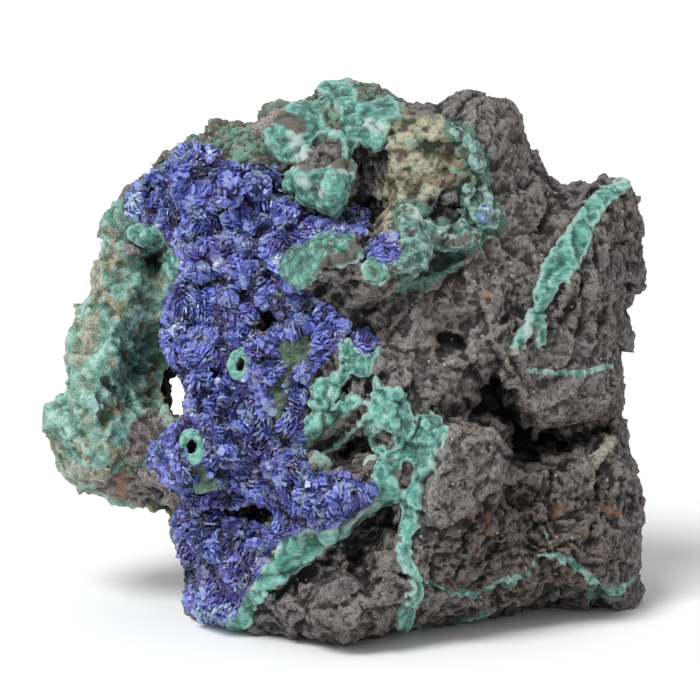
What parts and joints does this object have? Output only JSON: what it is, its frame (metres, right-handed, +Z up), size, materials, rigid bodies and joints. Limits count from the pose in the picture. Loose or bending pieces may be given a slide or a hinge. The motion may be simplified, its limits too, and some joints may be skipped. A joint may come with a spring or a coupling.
{
  "type": "azurite and malachite mineral specimen",
  "caption": "Rough hand-sized rock with a column of deep blue azurite crystals, green malachite crusts and veins, and an arm at its side, standing on a flat face.",
  "frame": {"origin": "middle of the whole specimen's box, at the height of the surface that it stands on", "axes": "+X to the right of a person who looks at the crystals, along the specimen's longest side; +Y away from that person, along its shortest side; +Z up"},
  "size_m": [0.1217, 0.0764, 0.1061],
  "materials": {
    "rock": "dry, pitted brown-black iron oxide rock",
    "azurite": "glossy deep blue crystal",
    "malachite": "silky light to dark green crust"
  },
  "bodies": {
    "root": {"matrix_rock": "rock", "azurite_druse": "azurite", "malachite_crown": "malachite", "malachite_ledge": "malachite", "malachite_crust": "malachite", "malachite_rim": "malachite", "malachite_vein": "malachite"}
  },
  "joints": []
}
